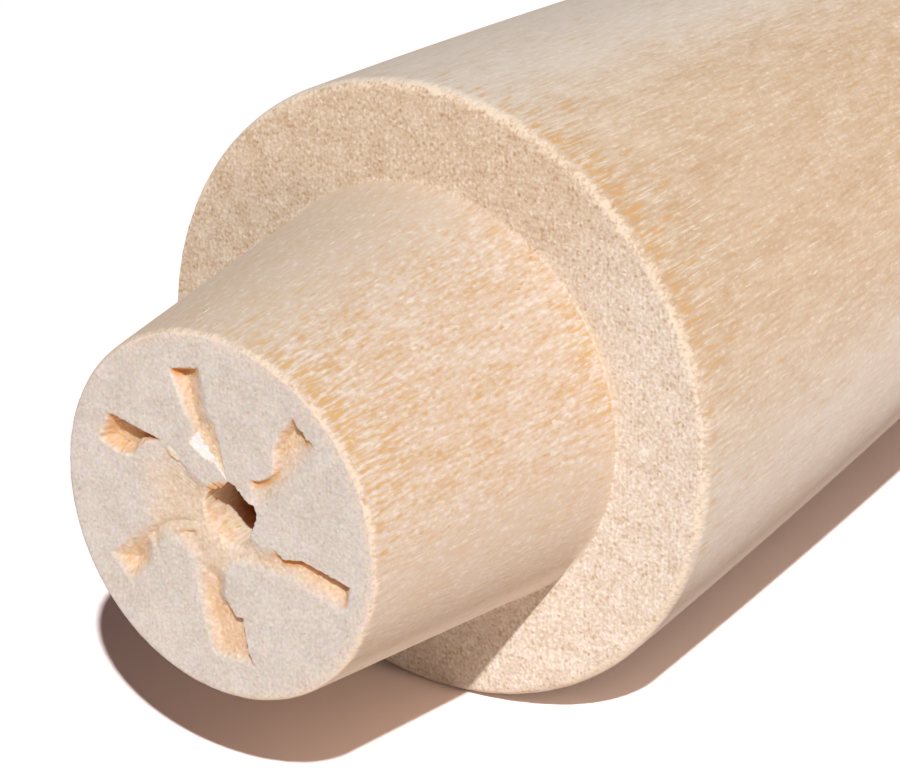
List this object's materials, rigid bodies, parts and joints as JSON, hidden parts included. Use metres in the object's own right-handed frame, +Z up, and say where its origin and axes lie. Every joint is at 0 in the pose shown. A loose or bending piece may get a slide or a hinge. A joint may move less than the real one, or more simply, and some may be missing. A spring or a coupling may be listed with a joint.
{
  "type": "shaker peg",
  "caption": "Turned wooden peg with a tapered tenon, a flat shoulder, a slim neck and a domed head, for hanging things on a rail.",
  "frame": {"origin": "middle of the shoulder face, on the peg's axis", "axes": "+Y along the peg's axis from the tenon to the head, +Z up as the peg lies or sticks out of a rail"},
  "size_m": [0.0222, 0.0859, 0.0222],
  "materials": {
    "wood": "unfinished, turned"
  },
  "bodies": {
    "root": {"peg": "wood"}
  },
  "joints": []
}
